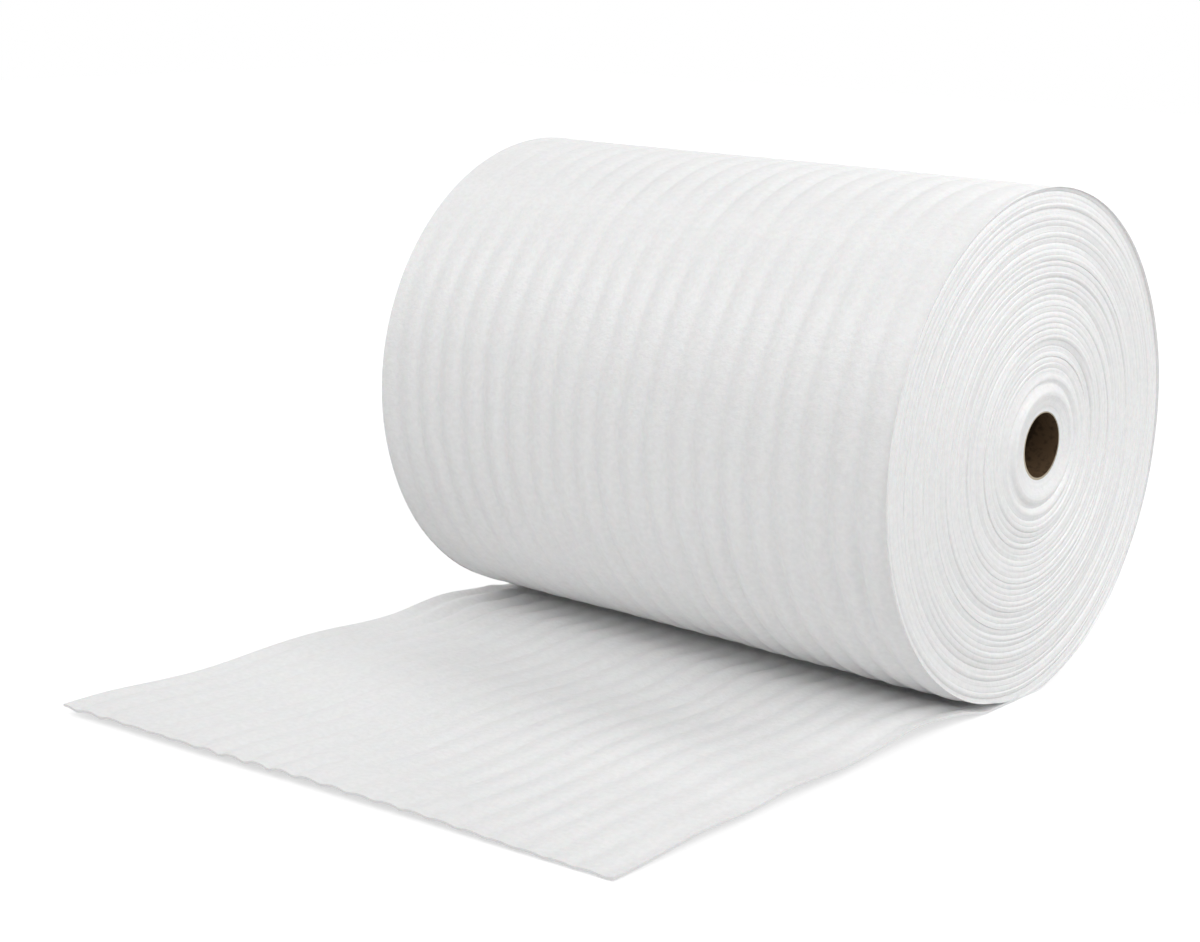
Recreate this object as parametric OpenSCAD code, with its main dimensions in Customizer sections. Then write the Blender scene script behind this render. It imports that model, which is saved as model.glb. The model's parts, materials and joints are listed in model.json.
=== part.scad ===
/* [Foam web] */
// Width of the foam web, and of the roll
web_w = 750; // [300:10:1500]
// Thickness of the foam
foam_t = 3; // [1.5:0.5:6]
// Ribs pressed along the web, side by side across its width
rib_count = 21; // [6:1:40]
// Height of a rib, from the valley to its crest
rib_h = 2; // [0.5:0.5:4]

/* [Winding] */
// Outside diameter of the roll, over its outer turn
roll_d = 605; // [560:5:1000]
// Turns of foam on the core
turn_count = 40; // [20:1:44]
// How far back the core lies from the middle of the outer turn
core_offset = 27; // [0:1:60]
// Width of the open seam that shows between two turns on the ends
seam_gap = 1.4; // [0.6:0.1:2.5]
// Depth of that seam
seam_depth = 3; // [1:0.5:8]
// Tight turns on the core, which stand off from the rest as a collar
collar_turns = 4; // [2:1:8]
// Width of the gap round the collar
collar_gap = 4; // [2:0.5:5.5]
// Depth of that gap
collar_depth = 8; // [2:1:20]

/* [Core tube] */
// Inside diameter of the cardboard core
core_bore = 76; // [40:1:160]
// Wall of the core
core_wall = 3; // [1.5:0.5:8]
// How far each end of the core stays inside the foam
core_setback = 6; // [0:1:30]
// Clearance between the core and the first turn
core_fit = 0.3; // [0.1:0.1:0.8]

/* [Rest] */
// How far the roll sinks into its own flat spot
flat_sag = 4; // [3:0.5:6]

/* [Free end] */
// Length of the free end along its middle, from the roll's lowest line
free_length = 759; // [640:1:900]
// How much further the free end reaches at its far corner than at the near one
cut_skew = 62; // [0:1:120]

/* [Hidden] */
$fn = 96;

foam_colour = [0.93, 0.94, 0.94];
core_colour = [0.62, 0.50, 0.36];

rib_pitch = web_w / rib_count;
core_r = core_bore / 2 + core_wall;
bore_r = core_r + core_fit;

// The winding is a spiral of half turns, each a true arc. An arc over the
// middle runs into the arc under it at the back, where the radius grows by
// back_step, and that one runs into the next at the front, by front_step.
// The two steps differ, and so the core ends up behind the middle. Together
// they are the foam and the slack of one turn. Both come to whole microns, and
// so each arc ends exactly where the next one starts.
micron = 0.001;
last = 2 * turn_count - 1;
half_drift = round(core_offset / turn_count / 2 / micron) * micron;
half_turn = round((roll_d / 2 - bore_r - half_drift) / last / micron) * micron;
back_step = half_turn + half_drift;
front_step = half_turn - half_drift;
core_y = turn_count * back_step - (turn_count - 1) * front_step;
function backs(k) = ceil(k / 2);
function fronts(k) = floor(k / 2);
function arc_r(k) = bore_r + backs(k) * back_step + fronts(k) * front_step;
function arc_y(k) = core_y - backs(k) * back_step + fronts(k) * front_step;
function over(k) = k % 2 == 0;

axis_z = arc_r(last) - flat_sag;
roll_back = arc_r(last) + arc_y(last);
reach_max = free_length + cut_skew / 2;

// How far a cut runs past what it cuts
past = 1;

// The middle of the footprint, which is the part's origin
mid_y = (roll_back - reach_max) / 2;

// Points across the web, as [distance from the left edge, rib height there]
rib_line = concat(
    [[0, 0]],
    [for (k = [0 : rib_count - 1]) each
        [[(k + 1/8) * rib_pitch, 0],
         [(k + 3/8) * rib_pitch, rib_h],
         [(k + 5/8) * rib_pitch, rib_h],
         [(k + 7/8) * rib_pitch, 0]]],
    [[web_w, 0]]);
rib_back = [for (i = [len(rib_line) - 1 : -1 : 0]) rib_line[i]];

// Turns a profile of [radius, distance along the axis] about an axis that lies
// along X at height z, from one angle through another. Angle 0 is straight
// down, and 90 is towards the back.
module turned(y, z, from, through)
    translate([0, y, z])
        rotate([0, 90, 0])
            rotate([0, 0, from])
                rotate_extrude(angle = through)
                    children();

// Half profile of the wound foam out to radius r, ribs and all
module roll_profile(r)
    polygon(concat(
        [[0, -web_w / 2]],
        [for (p = rib_line) [r - rib_h + p[1], p[0] - web_w / 2]],
        [[0, web_w / 2]]));

// Wound foam: half a turn over, a quarter turn under the back, and a quarter
// turn of the layer below under the front, where the outer layer has left
module wound_foam() {
    turned(arc_y(last - 1), axis_z, 90, 180) roll_profile(arc_r(last - 1));
    turned(arc_y(last), axis_z, 0, 90) roll_profile(arc_r(last));
    turned(arc_y(last - 2), axis_z, -90, 90) roll_profile(arc_r(last - 2));
}

// Profile of the gap beside half turn k, at both ends of the roll
module seam_profile(k) {
    gap = k == 2 * collar_turns || k == 2 * collar_turns + 1 ? collar_gap : seam_gap;
    depth = gap == collar_gap ? collar_depth : seam_depth;
    for (side = [-1, 1])
        translate([arc_r(k) - gap / 2, side * web_w / 2 - depth])
            square([gap, 2 * depth]);
}

// Seams between the turns, out to where the outer layer leaves the roll
module turn_seams() {
    for (k = [1 : last - 3])
        turned(arc_y(k), axis_z, over(k) ? 90 : -90, 180) seam_profile(k);
    turned(arc_y(last - 2), axis_z, 0, 90) seam_profile(last - 2);
}

// Free end, flat on the floor from the roll's lowest line and cut a little
// askew. Its ribs' crests face the floor, as they face outwards on the roll.
module free_end() {
    edge = web_w / 2 + past;
    intersection() {
        rotate([90, 0, 0])
            linear_extrude(height = reach_max + past)
                polygon(concat(
                    [for (p = rib_line) [p[0] - web_w / 2, rib_h - p[1]]],
                    [for (p = rib_back) [p[0] - web_w / 2, rib_h - p[1] + foam_t]]));
        translate([0, 0, -past])
            linear_extrude(height = rib_h + foam_t + 2 * past)
                polygon([[-edge, past], [edge, past],
                         [edge, cut_y(edge)], [-edge, cut_y(-edge)]]);
    }
}
function cut_y(x) = x * cut_skew / web_w - free_length;

module foam_web() {
    color(foam_colour)
    translate([0, -mid_y, 0])
    {
        difference() {
            wound_foam();
            turn_seams();
            translate([-web_w, core_y, axis_z])
                rotate([0, 90, 0])
                    cylinder(h = 2 * web_w, r = bore_r);
            translate([-web_w, -web_w, -2 * flat_sag])
                cube([2 * web_w, 2 * web_w, 2 * flat_sag]);
        }
        free_end();
    }
}

module core_tube() {
    color(core_colour)
    translate([0, core_y - mid_y, axis_z])
    rotate([0, 90, 0])
    difference() {
        cylinder(h = web_w - 2 * core_setback, r = core_r, center = true);
        cylinder(h = web_w, r = core_bore / 2, center = true);
    }
}

foam_web();
core_tube();
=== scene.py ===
import json
import math

import bmesh
import bpy
import numpy as np
from mathutils import Matrix, Vector


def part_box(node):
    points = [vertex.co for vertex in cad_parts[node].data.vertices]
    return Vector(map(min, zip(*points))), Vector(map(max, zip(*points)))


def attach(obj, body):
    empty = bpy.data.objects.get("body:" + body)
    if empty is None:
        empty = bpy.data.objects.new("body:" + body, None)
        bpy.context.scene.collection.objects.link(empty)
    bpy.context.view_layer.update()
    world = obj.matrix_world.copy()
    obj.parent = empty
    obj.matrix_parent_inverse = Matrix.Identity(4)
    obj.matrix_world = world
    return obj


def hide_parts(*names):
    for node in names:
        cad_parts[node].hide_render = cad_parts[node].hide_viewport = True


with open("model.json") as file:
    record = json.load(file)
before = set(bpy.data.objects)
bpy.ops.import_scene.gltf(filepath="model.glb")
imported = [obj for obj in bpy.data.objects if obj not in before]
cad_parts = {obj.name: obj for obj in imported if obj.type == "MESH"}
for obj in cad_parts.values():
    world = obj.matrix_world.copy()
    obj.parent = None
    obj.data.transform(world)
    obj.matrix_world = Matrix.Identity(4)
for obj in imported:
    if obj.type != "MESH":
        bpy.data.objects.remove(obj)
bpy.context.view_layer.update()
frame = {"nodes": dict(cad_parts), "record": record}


# The photograph's viewpoint: in front of the free end and to the right of the
# roll, a little above its top. The focal length is in the photograph's pixels.
PHOTO_WIDTH = 1200
FOCAL = 2330.4
SENSOR = 36.0
VIEW_PLACE = (1.668, -2.046, 0.8652)
VIEW_TURN = math.radians(40.21)
VIEW_DROP = math.radians(13.11)
VIEW_ROLL = math.radians(1.2)
VIEW_REACH = 60.0

camera = bpy.data.objects.new("camera", bpy.data.cameras.new("camera"))
bpy.context.scene.collection.objects.link(camera)
bpy.context.scene.camera = camera
camera.data.sensor_width = SENSOR
camera.data.lens = FOCAL / PHOTO_WIDTH * SENSOR
camera.data.clip_end = VIEW_REACH
camera.matrix_world = (
    Matrix.Translation(VIEW_PLACE)
    @ Matrix.Rotation(VIEW_TURN, 4, "Z")
    @ Matrix.Rotation(math.pi / 2 - VIEW_DROP, 4, "X")
    @ Matrix.Rotation(VIEW_ROLL, 4, "Z")
)


# The foam web is one long sheet of thin white packing foam, pressed into ribs
# that run along it. It is wound on the core in forty turns, and its outer layer
# leaves the roll at the lowest line and lies on the floor as the free end.
TURNS = 40
FOAM_THICK = 0.003
RIBS = 21
RIB_HEIGHT = 0.0010
RIB_DRIFT = 0.016
RIB_JITTER = 0.002
COLUMNS_PER_RIB = 8
ROWS_ROUND = 144
ROWS_FREE = 80
CORE_FIT = 0.0003

web_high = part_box("foam_web")[1]
core_low, core_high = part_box("core_tube")
mount_place = {m["name"]: m["pos_m"] for m in frame["record"]["mounts"]}
rest_y = mount_place["rest_face"][1]
core_y = mount_place["core_bore"][1]
axis_z = mount_place["core_bore"][2]
web_half = web_high[0]
bore_radius = (core_high[2] - core_low[2]) / 2 + CORE_FIT
roll_radius = web_high[1] - rest_y
rib_pitch = 2 * web_half / RIBS


def unevenness(a, b, seed, waves=7):
    """Smooth unevenness between about -1 and 1: a sum of sine waves in a and b
    with seeded directions, lengths from one down to a quarter, and phases."""
    rng = np.random.default_rng(seed)
    total = 0.0
    for _ in range(waves):
        size = rng.uniform(1.0, 4.0)
        heading = rng.uniform(0, 2 * np.pi)
        phase = rng.uniform(0, 2 * np.pi)
        total = total + np.sin(size * (a * np.cos(heading) + b * np.sin(heading)) + phase) / size
    return total * 0.55


def smooth_step(t):
    """0 below 0, 1 above 1, and in between t squared times (3 - 2 t)."""
    t = np.clip(t, 0.0, 1.0)
    return t * t * (3 - 2 * t)


def rib_phase(x, along, seed, wander):
    """Angle of the rib wave, one turn for each rib pitch across the web. The
    ribs' lines wander by long and short waves, and drift as they go along."""
    long_waves = wander * unevenness(x * 6, along * 6, seed)
    aside = long_waves + RIB_JITTER * unevenness(x * 21, along * 17, seed + 7)
    return 2 * np.pi * (x + web_half + aside + RIB_DRIFT * along) / rib_pitch


def rib_height(x, along, seed, wander, patchy):
    """Height of the ribs over the sheet's middle: minus the cosine of the phase
    and a fifth of its double, for broad crests and narrow valleys. It is
    stronger in some places, by wide patches and by smaller ones."""
    turn = rib_phase(x, along, seed, wander)
    wide_patches = 1.0 + 0.35 * unevenness(x * 11, along * 7, seed + 1)
    strength = wide_patches + patchy * unevenness(x * 33, along * 14, seed + 2)
    return RIB_HEIGHT * strength * (-np.cos(turn) - 0.2 * np.cos(2 * turn))


def crease_shape(x, along, seed, wander):
    """Shape of the narrow creases in the valleys between the ribs, from 0 to 1:
    the fourth power of a raised cosine of the ribs' phase."""
    return (0.5 + 0.5 * np.cos(rib_phase(x, along, seed, wander))) ** 4


def layers_under(turn):
    """Height of the layers that lie pressed on each other under a layer: one
    thickness of foam for each turn outside it."""
    return FOAM_THICK * (TURNS - turn)


def winding(turn, angle):
    """Place in the end view of a layer at a turn number, fractions included: a
    circle whose radius grows evenly and whose centre moves from the core to the
    roll's middle. No layer is lower than the pressed layers under it."""
    share = turn / TURNS
    radius = bore_radius + (roll_radius - bore_radius) * share
    centre = core_y + (rest_y - core_y) * share
    y = centre + radius * np.sin(angle)
    z = axis_z - radius * np.cos(angle)
    return y, np.maximum(z, layers_under(turn))


across = np.linspace(-web_half, web_half, RIBS * COLUMNS_PER_RIB + 1)

# Roll surface, from the lowest line at the back round to the nip in front. The
# ribs are weak over the top, where the foam is taut, and have creases there.
ROLL_SEED = 11
ROLL_WANDER = 0.004
ROLL_PATCHY = 0.28
CREASE_DEPTH = 0.0024
CREASE_FADE = 0.16
PRESSED_OUT = 0.006
SAG_DEPTH = 0.0015
# Strength of the ribs at heights from the roll's bottom, -1, to its top, 1
RIB_STOPS = [-1, -0.85, -0.3, 0, 0.45, 0.65, 0.8, 0.95]
RIB_STRENGTHS = [1.9, 2.1, 2.7, 1.7, 0.75, 0.6, 0.45, 0.5]
# How much that grows for each metre to the right, low and high on the roll
GROWTH_STOPS = [0.0, 0.45]
GROWTHS = [1.2, -0.2]

phi = np.linspace(2 * np.pi * TURNS, 2 * np.pi * (TURNS - 1), ROWS_ROUND + 1)
round_x, round_phi = np.meshgrid(across, phi)
round_turn = round_phi / (2 * np.pi)
round_y, round_z = winding(round_turn, -round_phi)
along_roll = (round_phi - 2 * np.pi * (TURNS - 1)) * roll_radius
height_share = -np.cos(round_phi)
pressed = smooth_step((round_z - layers_under(round_turn)) / PRESSED_OUT)
crease_start = 0.82 + 0.10 * unevenness(round_x * 26, along_roll * 2, 51)
upper = smooth_step((height_share - crease_start) / CREASE_FADE) * (1.0 + 0.3 * round_x)
slack = np.interp(height_share, RIB_STOPS, RIB_STRENGTHS)
slack = slack * (0.95 + np.interp(height_share, GROWTH_STOPS, GROWTHS) * round_x)
rib = rib_height(round_x, along_roll, ROLL_SEED, ROLL_WANDER, ROLL_PATCHY)
rib = slack * rib - 1.3 * RIB_HEIGHT
crease = CREASE_DEPTH * upper * crease_shape(round_x, along_roll, ROLL_SEED, ROLL_WANDER)
sag = SAG_DEPTH * unevenness(round_x * 4, np.sin(round_phi) * 1.5, 5)
outwards = (rib - crease) * pressed + sag * pressed
round_y = round_y - np.sin(round_phi) * outwards
round_z = round_z - np.cos(round_phi) * outwards
round_z = np.maximum(round_z, layers_under(round_turn))
roll_rows = np.stack([round_x, round_y, round_z], axis=2)


# Free end, from the roll's lowest line to the askew cut, top and underside
REACH_NEAR = 0.728
REACH_FAR = 0.790
CUT_WAVES = 0.0012
FREE_SEED = 12
FREE_WANDER = 0.0025
FREE_PATCHY = 0.5
# Where the free end starts in the ribs' pattern, in metres along it
FREE_START = 1.4
SETTLE_FROM = 0.02
SETTLE_OVER = 0.08
# Distances from the roll's lowest line, and how high the foam stands there. The
# near edge's part starts a little to the left of the middle.
FAR_STOPS = [0, 0.100, 0.185, 0.282, 0.430, 0.600, 0.745, 0.800]
FAR_HEIGHTS = [0, 0, 0.0066, 0.0004, 0.0066, 0.0008, 0.0070, 0.0066]
NEAR_STOPS = [0, 0.025, 0.210, 0.345, 0.441, 0.520, 0.575, 0.728, 0.800]
NEAR_HEIGHTS = [0, 0, 0.0172, 0.0090, 0.0120, 0.0072, 0.0084, 0.0004, 0]
NEAR_FROM = 0.02


def through(s, stops, heights):
    """Smooth line through heights at the stops: a smooth step between each two."""
    place = np.clip(np.searchsorted(stops, s) - 1, 0, len(stops) - 2)
    low, high = np.take(stops, place), np.take(stops, place + 1)
    share = smooth_step((s - low) / (high - low))
    return np.take(heights, place) * (1 - share) + np.take(heights, place + 1) * share


def lift(x, s):
    """Height of the free end's underside over the floor at s from the roll's
    lowest line: the far half's soft waves, which pass into the near edge's
    higher ones by a smooth step across the web, to the power of 1.5."""
    near = smooth_step((x + NEAR_FROM) / (web_half + NEAR_FROM)) ** 1.5
    far_part = through(s, FAR_STOPS, FAR_HEIGHTS) * (1 - near)
    return far_part + through(s, NEAR_STOPS, NEAR_HEIGHTS) * near


cut = REACH_FAR + (REACH_NEAR - REACH_FAR) * (across + web_half) / (2 * web_half)
cut = cut + CUT_WAVES * unevenness(across * 16, across * 0, 21)
share = np.linspace(0, 1, ROWS_FREE + 1)[:, None]
free_s = share * cut[None, :]
free_x = np.broadcast_to(across[None, :], free_s.shape)
settle = smooth_step((free_s - SETTLE_FROM) / SETTLE_OVER)
# The ribs stand highest beside the roll, and get lower towards the near edge
near_roll = (1.1 + 0.9 * smooth_step((0.36 - free_s) / 0.22)) * (1 - 0.8 * free_x)
ribs_free = rib_height(free_x, FREE_START - free_s, FREE_SEED, FREE_WANDER, FREE_PATCHY)
ribs_free = near_roll * (RIB_HEIGHT * 1.2 + ribs_free)
# The foam under the roll's front stays between the floor and the roll
roll_over = axis_z - np.sqrt(np.maximum(roll_radius ** 2 - free_s ** 2, 0))
room = np.maximum(0.75 * (roll_over - FOAM_THICK), 0)
under_z = np.clip(settle * ribs_free + lift(free_x, free_s), 0, room)
under_rows = np.stack([free_x, rest_y - free_s, under_z], axis=2)
top_rows = under_rows + np.array([0, 0, FOAM_THICK])

# Round the roll, out along the top face and back along the underside, which
# ends on the line that the roll starts from
loop_rows = np.concatenate([roll_rows[:-1], top_rows, under_rows[::-1]])
loop_rows[0] = loop_rows[-1]
loop_rows = loop_rows[:-1]

points = []
quads = []
turns = []


def add_patch(patch, turn, turn_over=False, close_rows=False):
    """Adds a grid of points laid out row by row, its four-cornered faces, and
    each point's turn number. close_rows joins the last row to the first, and
    turn_over turns the faces round, so that they look outwards."""
    rows, cols = patch.shape[:2]
    index = sum(len(p) for p in points) + np.arange(rows * cols).reshape(rows, cols)
    if close_rows:
        index = np.vstack([index, index[:1]])
    corners = [index[:-1, :-1], index[1:, :-1], index[1:, 1:], index[:-1, 1:]]
    faces = np.stack(corners, axis=2).reshape(-1, 4)
    points.append(patch.reshape(-1, 3))
    quads.append(faces[:, ::-1] if turn_over else faces)
    turns.append(np.broadcast_to(turn, (rows, cols)).astype(float).ravel())


# Ends of the roll, as one ribbon that follows the spiral from core to rim.
# Across it, places 0 and 1 lie in the seams, and the others on the layer.
SEAM_PLACES = (0.0, 0.14, 0.5, 0.86, 1.0)
SEAM_DEPTH = 0.0012
LAYER_SHIFT = 0.0007
EDGE_DEPTH = 0.0004
# Layers' radii, and how far each stands back from the roll's end
COLLAR_RADII = [
    0.0413, 0.0445, 0.050, 0.055, 0.0595, 0.063, 0.066,
    0.0695, 0.073, 0.0765, 0.080, 0.086, 0.094, 0.30]
COLLAR_DEPTHS = [
    0.0056, 0.0050, 0.0037, 0.0020, 0.0004, 0.0, 0.0009,
    0.0038, 0.0054, 0.0026, 0.0014, 0.0038, 0.0026, 0.0018]
LOOSE_FROM = 0.076
LOOSE_OVER = 0.02


def layer_shift(layer):
    """How far a layer lies to one side: a sum of sine waves along the spiral,
    none of whole turns, so that a layer differs from the ones beside it."""
    rng = np.random.default_rng(41)
    total = 0.0
    for _ in range(9):
        waves = rng.uniform(0.15, 1.45)
        wave = np.sin(2 * np.pi * (waves * layer + rng.uniform(0, 1)))
        total = total + wave * rng.uniform(0.4, 1.0)
    return total / 3.0


def end_relief(turn, angle, place, side):
    """How far the foam stands back from the roll's end: the collar's depth at
    that radius, and outside the collar also wide waves, the layer's own shift
    and, at a seam, the deeper of its two layers' shifts and the seam's depth.
    What stands out at one end lies in at the other."""
    radius = (turn / TURNS) * (roll_radius - bore_radius) + bore_radius
    collar = np.interp(radius, COLLAR_RADII, COLLAR_DEPTHS)
    loose = smooth_step((radius - LOOSE_FROM) / LOOSE_OVER)
    wide = 0.0010 * unevenness(turn * 1.3, np.sin(angle) * 1.3, 31, 12)
    wide = wide + 0.0011 * unevenness(turn * 0.5, np.cos(angle), 37)
    shift = LAYER_SHIFT * side
    at_edge = np.abs(place - 0.5) > 0.2
    ridge = wide * side + shift * layer_shift(turn + 1 - place) + EDGE_DEPTH * at_edge
    patches = np.abs(unevenness(turn * 2.3, np.sin(angle + 1) * 1.4, 33))
    depth = SEAM_DEPTH * (0.5 + 0.5 * patches)
    deeper = np.maximum(shift * layer_shift(turn), shift * layer_shift(turn + 1))
    valley = wide * side + deeper + depth
    at_seam = np.abs(place - 0.5) > 0.4
    return np.maximum(collar + loose * np.where(at_seam, valley, ridge), 0)


def lip(angle):
    """How far the innermost foam leans in over the tube's end: 1.4 mm, and up
    to 1.2 mm more or less with the cosine of the angle."""
    return 0.0014 + 0.0012 * np.cos(angle - 1.9)


ribbon_phi = np.linspace(0, 2 * np.pi * TURNS, ROWS_ROUND * TURNS + 1)
outer_turn = ribbon_phi / (2 * np.pi)
inner_turn = np.maximum(outer_turn - 1, 0)
place, ribbon_phi = np.meshgrid(np.array(SEAM_PLACES), ribbon_phi)
ribbon_turn = inner_turn[:, None] + (outer_turn - inner_turn)[:, None] * place
end_y, end_z = winding(ribbon_turn, -ribbon_phi)
lean = lip(-ribbon_phi) * (1 - smooth_step(ribbon_turn * 1.6))
end_y = end_y - lean * np.sin(-ribbon_phi)
end_z = end_z + lean * np.cos(-ribbon_phi)

add_patch(loop_rows, TURNS, close_rows=True)
for side, column in ((1, -1), (-1, 0)):
    end_x = side * (web_half - end_relief(ribbon_turn, -ribbon_phi, place, side))
    end_points = np.stack([end_x, end_y, end_z], axis=2)
    # The rim of the end is the edge of the roll's own surface
    end_points[-ROWS_ROUND - 1:, -1] = roll_rows[::-1, column]
    add_patch(end_points, ribbon_turn, turn_over=side > 0)
    # Side edge of the free end, from its top face to its underside
    edge_points = np.stack([top_rows[:, column], under_rows[:, column]], axis=1)
    add_patch(edge_points, TURNS, turn_over=side < 0)

# Bore, from one end's lip over the tube to the other's
LIP_TO_TUBE = 0.0004
bore_angle = -np.linspace(0, 2 * np.pi, ROWS_ROUND + 1)
bore_y, bore_z = winding(np.zeros(ROWS_ROUND + 1), bore_angle)
lip_x = web_half - end_relief(np.zeros(1), bore_angle[:1], np.zeros(1), 1)[0]
tube_x = [core_high[0] + LIP_TO_TUBE, core_low[0] - LIP_TO_TUBE]
bore_x = np.array([lip_x, *tube_x, -lip_x])[:, None]
leaning = np.array([1.0, 0.0, 0.0, 1.0])[:, None] * lip(bore_angle)
bore_points = np.stack([
    bore_x + 0 * bore_y,
    bore_y - leaning * np.sin(bore_angle),
    bore_z + leaning * np.cos(bore_angle)], axis=2)
add_patch(bore_points, 0)

# The patches meet edge to edge, so points in the same place become one
SAME_PLACE = 2e-6
NO_LENGTH = 1e-7
SHARP_ANGLE = math.radians(40)

mesh = bpy.data.meshes.new("foam_web_sheet")
mesh.from_pydata(np.concatenate(points).tolist(), [], np.concatenate(quads).tolist())
turn_layer = mesh.attributes.new("turn", "FLOAT", "POINT")
turn_layer.data.foreach_set("value", np.concatenate(turns))
form = bmesh.new()
form.from_mesh(mesh)
bmesh.ops.remove_doubles(form, verts=form.verts, dist=SAME_PLACE)
bmesh.ops.dissolve_degenerate(form, edges=form.edges, dist=NO_LENGTH)
bmesh.ops.holes_fill(form, edges=form.edges, sides=0)
form.to_mesh(mesh)
form.free()
mesh.shade_smooth()
mesh.set_sharp_from_angle(angle=SHARP_ANGLE)
foam_web = bpy.data.objects.new("foam_web_sheet", mesh)
bpy.context.scene.collection.objects.link(foam_web)


def new_paint(name, roughness, shine):
    """A material with its nodes, links and Principled node."""
    paint = bpy.data.materials.new(name)
    paint.use_nodes = True
    tree = paint.node_tree
    shader = tree.nodes["Principled BSDF"]
    shader.inputs["Roughness"].default_value = roughness
    shader.inputs["Specular IOR Level"].default_value = shine
    return paint, tree.nodes, tree.links, shader


def math_node(operation, value=0.5):
    """A Math node of this operation, with value in its second socket."""
    node = nodes.new("ShaderNodeMath")
    node.operation = operation
    node.inputs[1].default_value = value
    return node


def noise_node(scale, detail):
    """A Noise node with about scale grains in a metre."""
    node = nodes.new("ShaderNodeTexNoise")
    node.inputs["Scale"].default_value = scale
    node.inputs["Detail"].default_value = detail
    return node


def ramp_node(low, low_colour, high, high_colour):
    """A Color Ramp node from one colour at low to another at high."""
    node = nodes.new("ShaderNodeValToRGB")
    stops = node.color_ramp.elements
    stops[0].position = low
    stops[0].color = (*low_colour, 1)
    stops[1].position = high
    stops[1].color = (*high_colour, 1)
    return node


def multiply_node():
    """A Mix node that multiplies colour A by colour B."""
    node = nodes.new("ShaderNodeMix")
    node.data_type = "RGBA"
    node.blend_type = "MULTIPLY"
    node.inputs["Factor"].default_value = 1.0
    return node


# White foam: a faint cloudy tint, small cells and grain, and on the ends streaks
# that follow the layers, as bumps and as painted shade that darkens some layers
foam, nodes, links, surface = new_paint("white_packing_foam", 0.43, 0.80)
surface.inputs["Subsurface Weight"].default_value = 0.10
surface.inputs["Subsurface Scale"].default_value = 0.003
place_node = nodes.new("ShaderNodeTexCoord")
axes = nodes.new("ShaderNodeSeparateXYZ")
turn_node = nodes.new("ShaderNodeAttribute")
turn_node.attribute_name = "turn"
y_scale = math_node("MULTIPLY", 5.0)
z_scale = math_node("MULTIPLY", 5.0)
cells = nodes.new("ShaderNodeTexVoronoi")
cells.inputs["Scale"].default_value = 420.0
clouds = noise_node(160.0, 5.0)
grain = noise_node(330.0, 3.0)
grain_size = nodes.new("ShaderNodeMapping")
grain_size.inputs["Scale"].default_value = (0.35, 1.0, 1.0)
tint = ramp_node(0.3, (0.84, 0.84, 0.84), 0.7, (0.90, 0.90, 0.90))
# Painted shade: up to a twentieth darker in fine streaks that follow the layers, for the shade
# between the layers' edges
painted_layer_shade = ramp_node(0.32, (0.95, 0.95, 0.95), 0.62, (1, 1, 1))
shaded = multiply_node()
links.new(place_node.outputs["Object"], axes.inputs[0])
links.new(axes.outputs["Y"], y_scale.inputs[0])
links.new(axes.outputs["Z"], z_scale.inputs[0])


def turn_streaks(per_turn, detail):
    """Noise at the place (per_turn times the turn number, 5 y, 5 z), which
    changes from layer to layer and slowly along each."""
    turn_scale = math_node("MULTIPLY", per_turn)
    along_turn = nodes.new("ShaderNodeCombineXYZ")
    noise = noise_node(1.0, detail)
    links.new(turn_node.outputs["Fac"], turn_scale.inputs[0])
    links.new(turn_scale.outputs[0], along_turn.inputs["X"])
    links.new(y_scale.outputs[0], along_turn.inputs["Y"])
    links.new(z_scale.outputs[0], along_turn.inputs["Z"])
    links.new(along_turn.outputs[0], noise.inputs["Vector"])
    return noise


streaks = turn_streaks(1.7, 4.0)
layer_shade_streaks = turn_streaks(4.3, 3.0)
links.new(place_node.outputs["Object"], cells.inputs["Vector"])
links.new(place_node.outputs["Object"], clouds.inputs["Vector"])
links.new(place_node.outputs["Object"], grain_size.inputs["Vector"])
links.new(grain_size.outputs["Vector"], grain.inputs["Vector"])
links.new(clouds.outputs["Fac"], tint.inputs["Fac"])
links.new(layer_shade_streaks.outputs["Fac"], painted_layer_shade.inputs["Fac"])
links.new(tint.outputs["Color"], shaded.inputs["A"])
links.new(painted_layer_shade.outputs["Color"], shaded.inputs["B"])
links.new(shaded.outputs["Result"], surface.inputs["Base Color"])

# Bumps, one over the other: what gives their height, strength and distance
normal = None
for height, bump_strength, distance in (
        (streaks.outputs["Fac"], 0.5, 0.002),
        (grain.outputs["Fac"], 0.35, 0.0008),
        (cells.outputs["Distance"], 0.25, 0.0006),
        (clouds.outputs["Fac"], 0.35, 0.001)):
    bump = nodes.new("ShaderNodeBump")
    bump.inputs["Strength"].default_value = bump_strength
    bump.inputs["Distance"].default_value = distance
    links.new(height, bump.inputs["Height"])
    if normal is not None:
        links.new(normal, bump.inputs["Normal"])
    normal = bump.outputs["Normal"]
links.new(normal, surface.inputs["Normal"])
mesh.materials.append(foam)

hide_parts("foam_web")
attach(foam_web, "root")


# The core is a cardboard tube, wound from strips of brown kraft board that are
# glued in a spiral. It is a little shorter than the roll, so its ends lie just
# inside the foam.
STRIP_PITCH = 0.11
CUT_END = 0.0003

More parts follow.
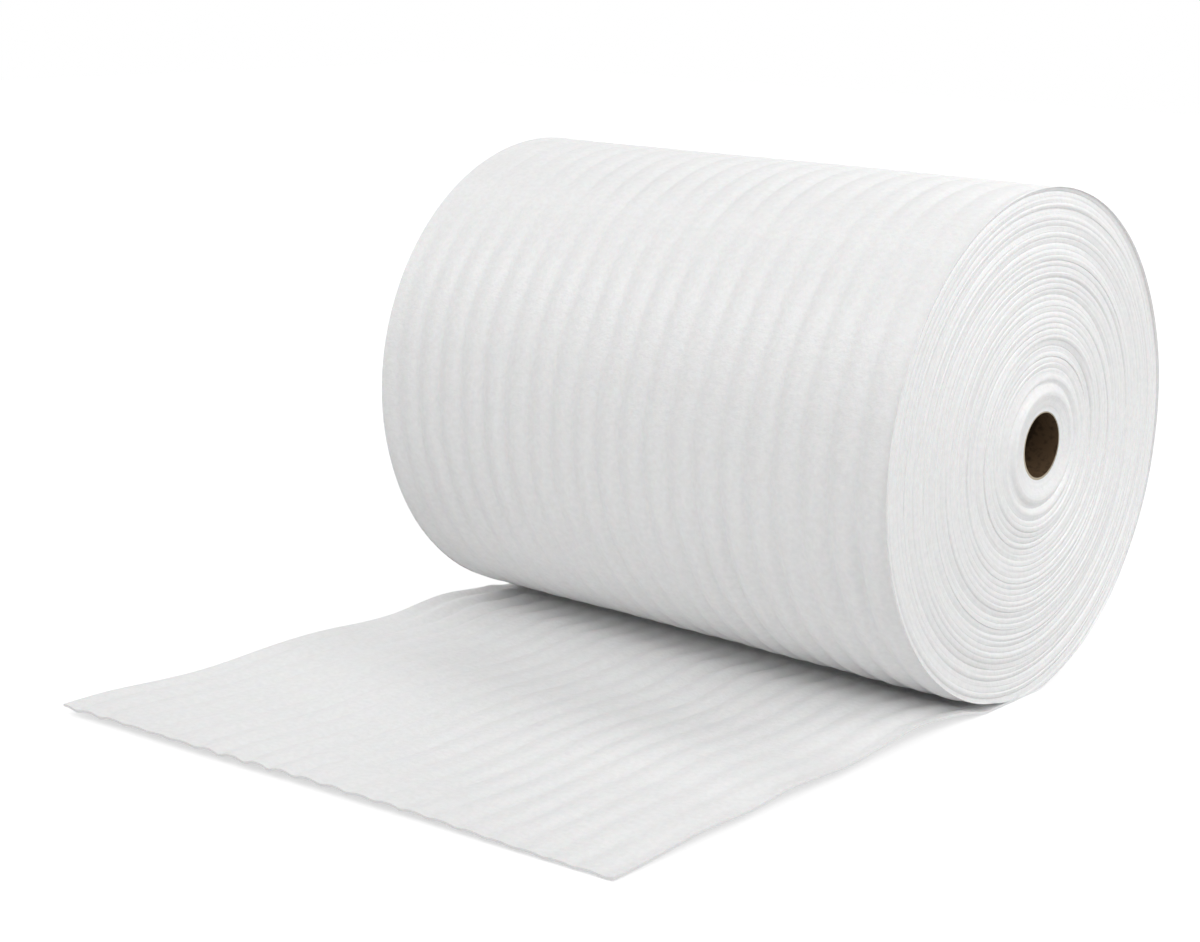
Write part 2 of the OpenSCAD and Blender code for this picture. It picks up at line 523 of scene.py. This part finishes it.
core = frame["nodes"]["core_tube"]
board, nodes, links, surface = new_paint("brown_core_board", 0.8, 0.2)
place_node = nodes.new("ShaderNodeTexCoord")
axes = nodes.new("ShaderNodeSeparateXYZ")
from_axis_y = math_node("SUBTRACT", core_y)
from_axis_z = math_node("SUBTRACT", axis_z)
round_angle = math_node("ARCTAN2")
strip = math_node("MULTIPLY_ADD", 2 * math.pi / STRIP_PITCH)
butt_joint = math_node("SINE")
joint_line = ramp_node(0.94, (1, 1, 1), 0.99, (0.55, 0.55, 0.55))
fibre = noise_node(160.0, 6.0)
tint = ramp_node(0.30, (0.060, 0.037, 0.020), 0.50, (0.112, 0.070, 0.037))
joined = multiply_node()
past_end = math_node("ABSOLUTE")
at_end = math_node("GREATER_THAN", core_high[0] - CUT_END)
cut_board = nodes.new("ShaderNodeMix")
cut_board.data_type = "RGBA"
cut_board.inputs["B"].default_value = (0.48, 0.42, 0.32, 1)
links.new(place_node.outputs["Object"], fibre.inputs["Vector"])
links.new(place_node.outputs["Object"], axes.inputs[0])
links.new(axes.outputs["Y"], from_axis_y.inputs[0])
links.new(axes.outputs["Z"], from_axis_z.inputs[0])
links.new(from_axis_y.outputs[0], round_angle.inputs[0])
links.new(from_axis_z.outputs[0], round_angle.inputs[1])
links.new(axes.outputs["X"], strip.inputs[0])
links.new(round_angle.outputs[0], strip.inputs[2])
links.new(strip.outputs[0], butt_joint.inputs[0])
links.new(butt_joint.outputs[0], joint_line.inputs["Fac"])
links.new(fibre.outputs["Fac"], tint.inputs["Fac"])
links.new(tint.outputs["Color"], joined.inputs["A"])
links.new(joint_line.outputs["Color"], joined.inputs["B"])
# The cut ends of the tube are paler than its faces
links.new(axes.outputs["X"], past_end.inputs[0])
links.new(past_end.outputs[0], at_end.inputs[0])
links.new(at_end.outputs[0], cut_board.inputs["Factor"])
links.new(joined.outputs["Result"], cut_board.inputs["A"])
links.new(cut_board.outputs["Result"], surface.inputs["Base Color"])
core.data.materials.clear()
core.data.materials.append(board)


# Floor and light: a plain white floor, a soft light from the front left whose
# sheen shows the ribs, a low one from the front, a broad one from the right, a
# lamp beside the open end, and an even white surround.
FLOOR_REACH = 9
FLOOR_DROP = 0.0004

floor_corners = [(-1, -1), (1, -1), (1, 1), (-1, 1)]
floor_mesh = bpy.data.meshes.new("floor")
floor_mesh.from_pydata(
    [(x * FLOOR_REACH, y * FLOOR_REACH, -FLOOR_DROP) for x, y in floor_corners],
    [],
    [(0, 1, 2, 3)])
floor = bpy.data.objects.new("floor", floor_mesh)
bpy.context.scene.collection.objects.link(floor)

# A glow that only the camera sees makes the lit floor as white as the surround
floor_paint, nodes, links, surface = new_paint("white_floor", 0.9, 0.0)
surface.inputs["Base Color"].default_value = (0.62, 0.62, 0.62, 1)
glow = nodes.new("ShaderNodeEmission")
ray = nodes.new("ShaderNodeLightPath")
seen = math_node("MULTIPLY", 0.60)
both = nodes.new("ShaderNodeAddShader")
links.new(ray.outputs["Is Camera Ray"], seen.inputs[0])
links.new(seen.outputs[0], glow.inputs["Strength"])
links.new(surface.outputs["BSDF"], both.inputs[0])
links.new(glow.outputs["Emission"], both.inputs[1])
links.new(both.outputs["Shader"], nodes["Material Output"].inputs["Surface"])
floor_mesh.materials.append(floor_paint)

# The surround is brighter where it is seen or mirrored than as a light
world = bpy.data.worlds.new("surround")
bpy.context.scene.world = world
world.use_nodes = True
nodes, links = world.node_tree.nodes, world.node_tree.links
nodes["Background"].inputs["Color"].default_value = (1, 1, 1, 1)
ray = nodes.new("ShaderNodeLightPath")
straight = math_node("MAXIMUM")
brightness = nodes.new("ShaderNodeMapRange")
brightness.inputs["To Min"].default_value = 0.61
brightness.inputs["To Max"].default_value = 1.0
links.new(ray.outputs["Is Camera Ray"], straight.inputs[0])
links.new(ray.outputs["Is Glossy Ray"], straight.inputs[1])
links.new(straight.outputs[0], brightness.inputs["Value"])
links.new(brightness.outputs["Result"], nodes["Background"].inputs["Strength"])


def add_lamp(name, kind, towards, power):
    """A lamp of this kind that shines from the direction towards."""
    lamp = bpy.data.lights.new(name, kind)
    lamp.energy = power
    holder = bpy.data.objects.new(name, lamp)
    bpy.context.scene.collection.objects.link(holder)
    holder.rotation_euler = Vector(towards).to_track_quat("Z", "Y").to_euler()
    return lamp, holder


# Each lamp's name, direction, width in the sky in degrees, and power
for name, towards, spread, power in (
        ("front_light", (-0.42, -0.58, 0.70), 20, 0.45),
        ("low_front_light", (-0.1, -0.90, 0.40), 50, 0.16),
        ("right_light", (0.80, -0.26, 0.54), 40, 0.68)):
    sun, holder = add_lamp(name, "SUN", towards, power)
    sun.angle = math.radians(spread)

# A broad lamp beside the open end, which lights its upper part most
END_LAMP_SIZE = 0.8
END_LAMP_PLACE = (1.5, 0.7, 1.5)
end_lamp, end_light = add_lamp("end_light", "AREA", (1.1, 0.35, 1.0), 7.6)
end_lamp.size = END_LAMP_SIZE
end_light.location = END_LAMP_PLACE

bpy.context.scene.view_settings.view_transform = "Standard"
